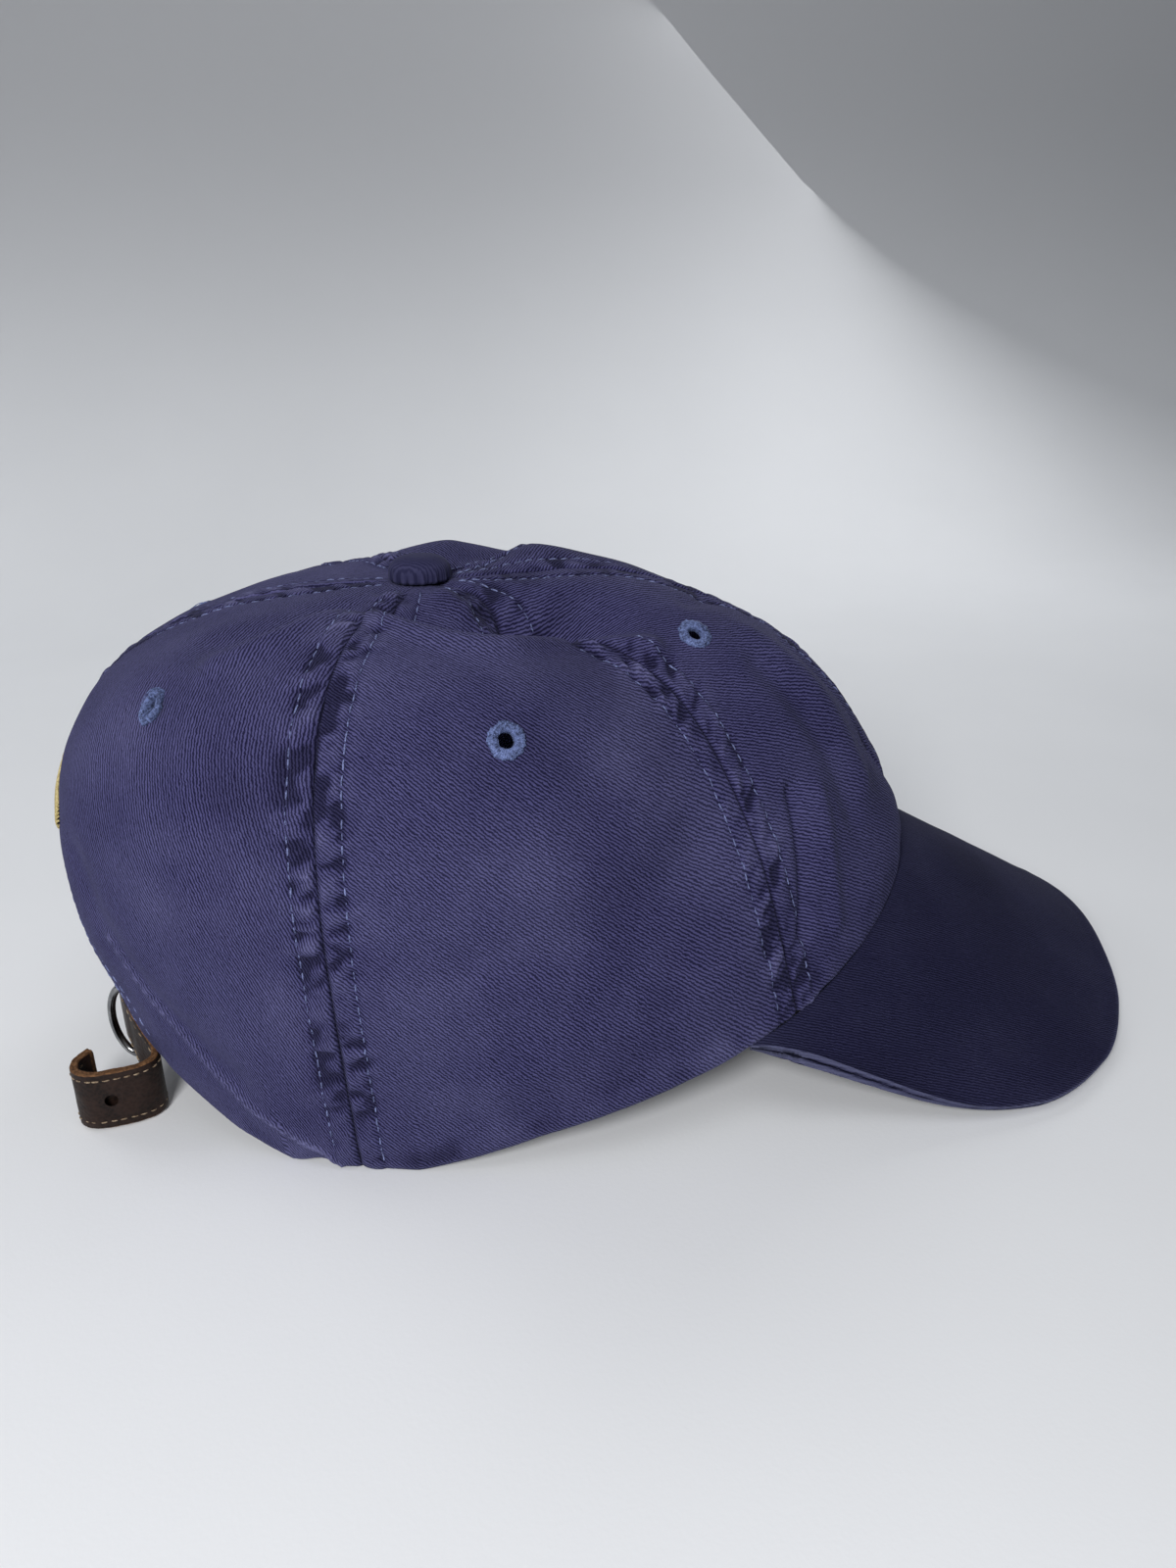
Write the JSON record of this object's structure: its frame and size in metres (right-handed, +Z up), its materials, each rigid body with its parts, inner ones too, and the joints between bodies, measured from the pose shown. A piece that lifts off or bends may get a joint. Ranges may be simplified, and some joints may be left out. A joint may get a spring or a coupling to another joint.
{
  "type": "baseball cap",
  "caption": "Soft unstructured baseball cap with a curved visor, fabric panels, an arched back opening and an adjustable leather strap with a metal buckle.",
  "frame": {"origin": "centre of the whole object's footprint, on the surface that it stands on", "axes": "+X from the back opening to the visor, +Y to the wearer's left, +Z up"},
  "size_m": [0.2834, 0.1604, 0.1277],
  "materials": {
    "crown_twill": "washed cotton twill, faded along the seams",
    "visor_twill": "washed cotton twill, darker than the crown",
    "eyelet_thread": "light blue embroidered thread",
    "button_cloth": "washed cotton twill",
    "button_metal": "plain stamped steel",
    "tape_cloth": "plain woven cotton tape",
    "sweatband_cloth": "soft plain cotton",
    "visor_board": "flexible sheet",
    "strap_leather": "dark brown, worn, with raw tan edges",
    "buckle_metal": "dark nickel, polished",
    "embroidery_thread": "pale gold satin stitch",
    "label_cloth": "plain white satin, blank"
  },
  "bodies": {
    "cap": {"front_panel_left": "crown_twill", "front_eyelet_left": "eyelet_thread", "front_panel_right": "crown_twill", "front_eyelet_right": "eyelet_thread", "side_panel_left": "crown_twill", "side_eyelet_left": "eyelet_thread", "side_panel_right": "crown_twill", "side_eyelet_right": "eyelet_thread", "back_panel_left": "crown_twill", "back_eyelet_left": "eyelet_thread", "back_panel_right": "crown_twill", "back_eyelet_right": "eyelet_thread", "button_cover": "button_cloth", "button_shell": "button_metal", "button_post": "button_metal", "button_back_plate": "button_metal", "seam_tape_front": "tape_cloth", "seam_tape_back": "tape_cloth", "seam_tape_front_left": "tape_cloth", "seam_tape_front_right": "tape_cloth", "seam_tape_back_left": "tape_cloth", "seam_tape_back_right": "tape_cloth", "sweatband": "sweatband_cloth", "opening_binding": "tape_cloth", "visor_top_cover": "visor_twill", "visor_under_cover": "visor_twill", "visor_board": "visor_board", "leather_strap": "strap_leather", "buckle_tab": "strap_leather", "embroidery_bar": "embroidery_thread", "care_label": "label_cloth"},
    "buckle_frame": {"buckle_frame": "buckle_metal"},
    "buckle_prong": {"buckle_prong": "buckle_metal"},
    "strap_tail": {"strap_tail": "strap_leather"}
  },
  "joints": [
    {"name": "buckle_frame_swing", "type": "hinge", "parent": "cap", "child": "buckle_frame", "pos_m": [-0.12395, -0.0215, 0.0175], "axis": [0, 0, 1], "range_deg": [-1, 20]},
    {"name": "buckle_prong_swing", "type": "hinge", "parent": "cap", "child": "buckle_prong", "pos_m": [-0.12395, -0.0215, 0.0175], "axis": [0, 0, 1], "range_deg": [-60, 5]},
    {"name": "strap_tail_flex", "type": "hinge", "parent": "cap", "child": "strap_tail", "pos_m": [-0.12845, -0.021, 0.008], "axis": [0, 0, 1], "range_deg": [-35, 0]}
  ]
}
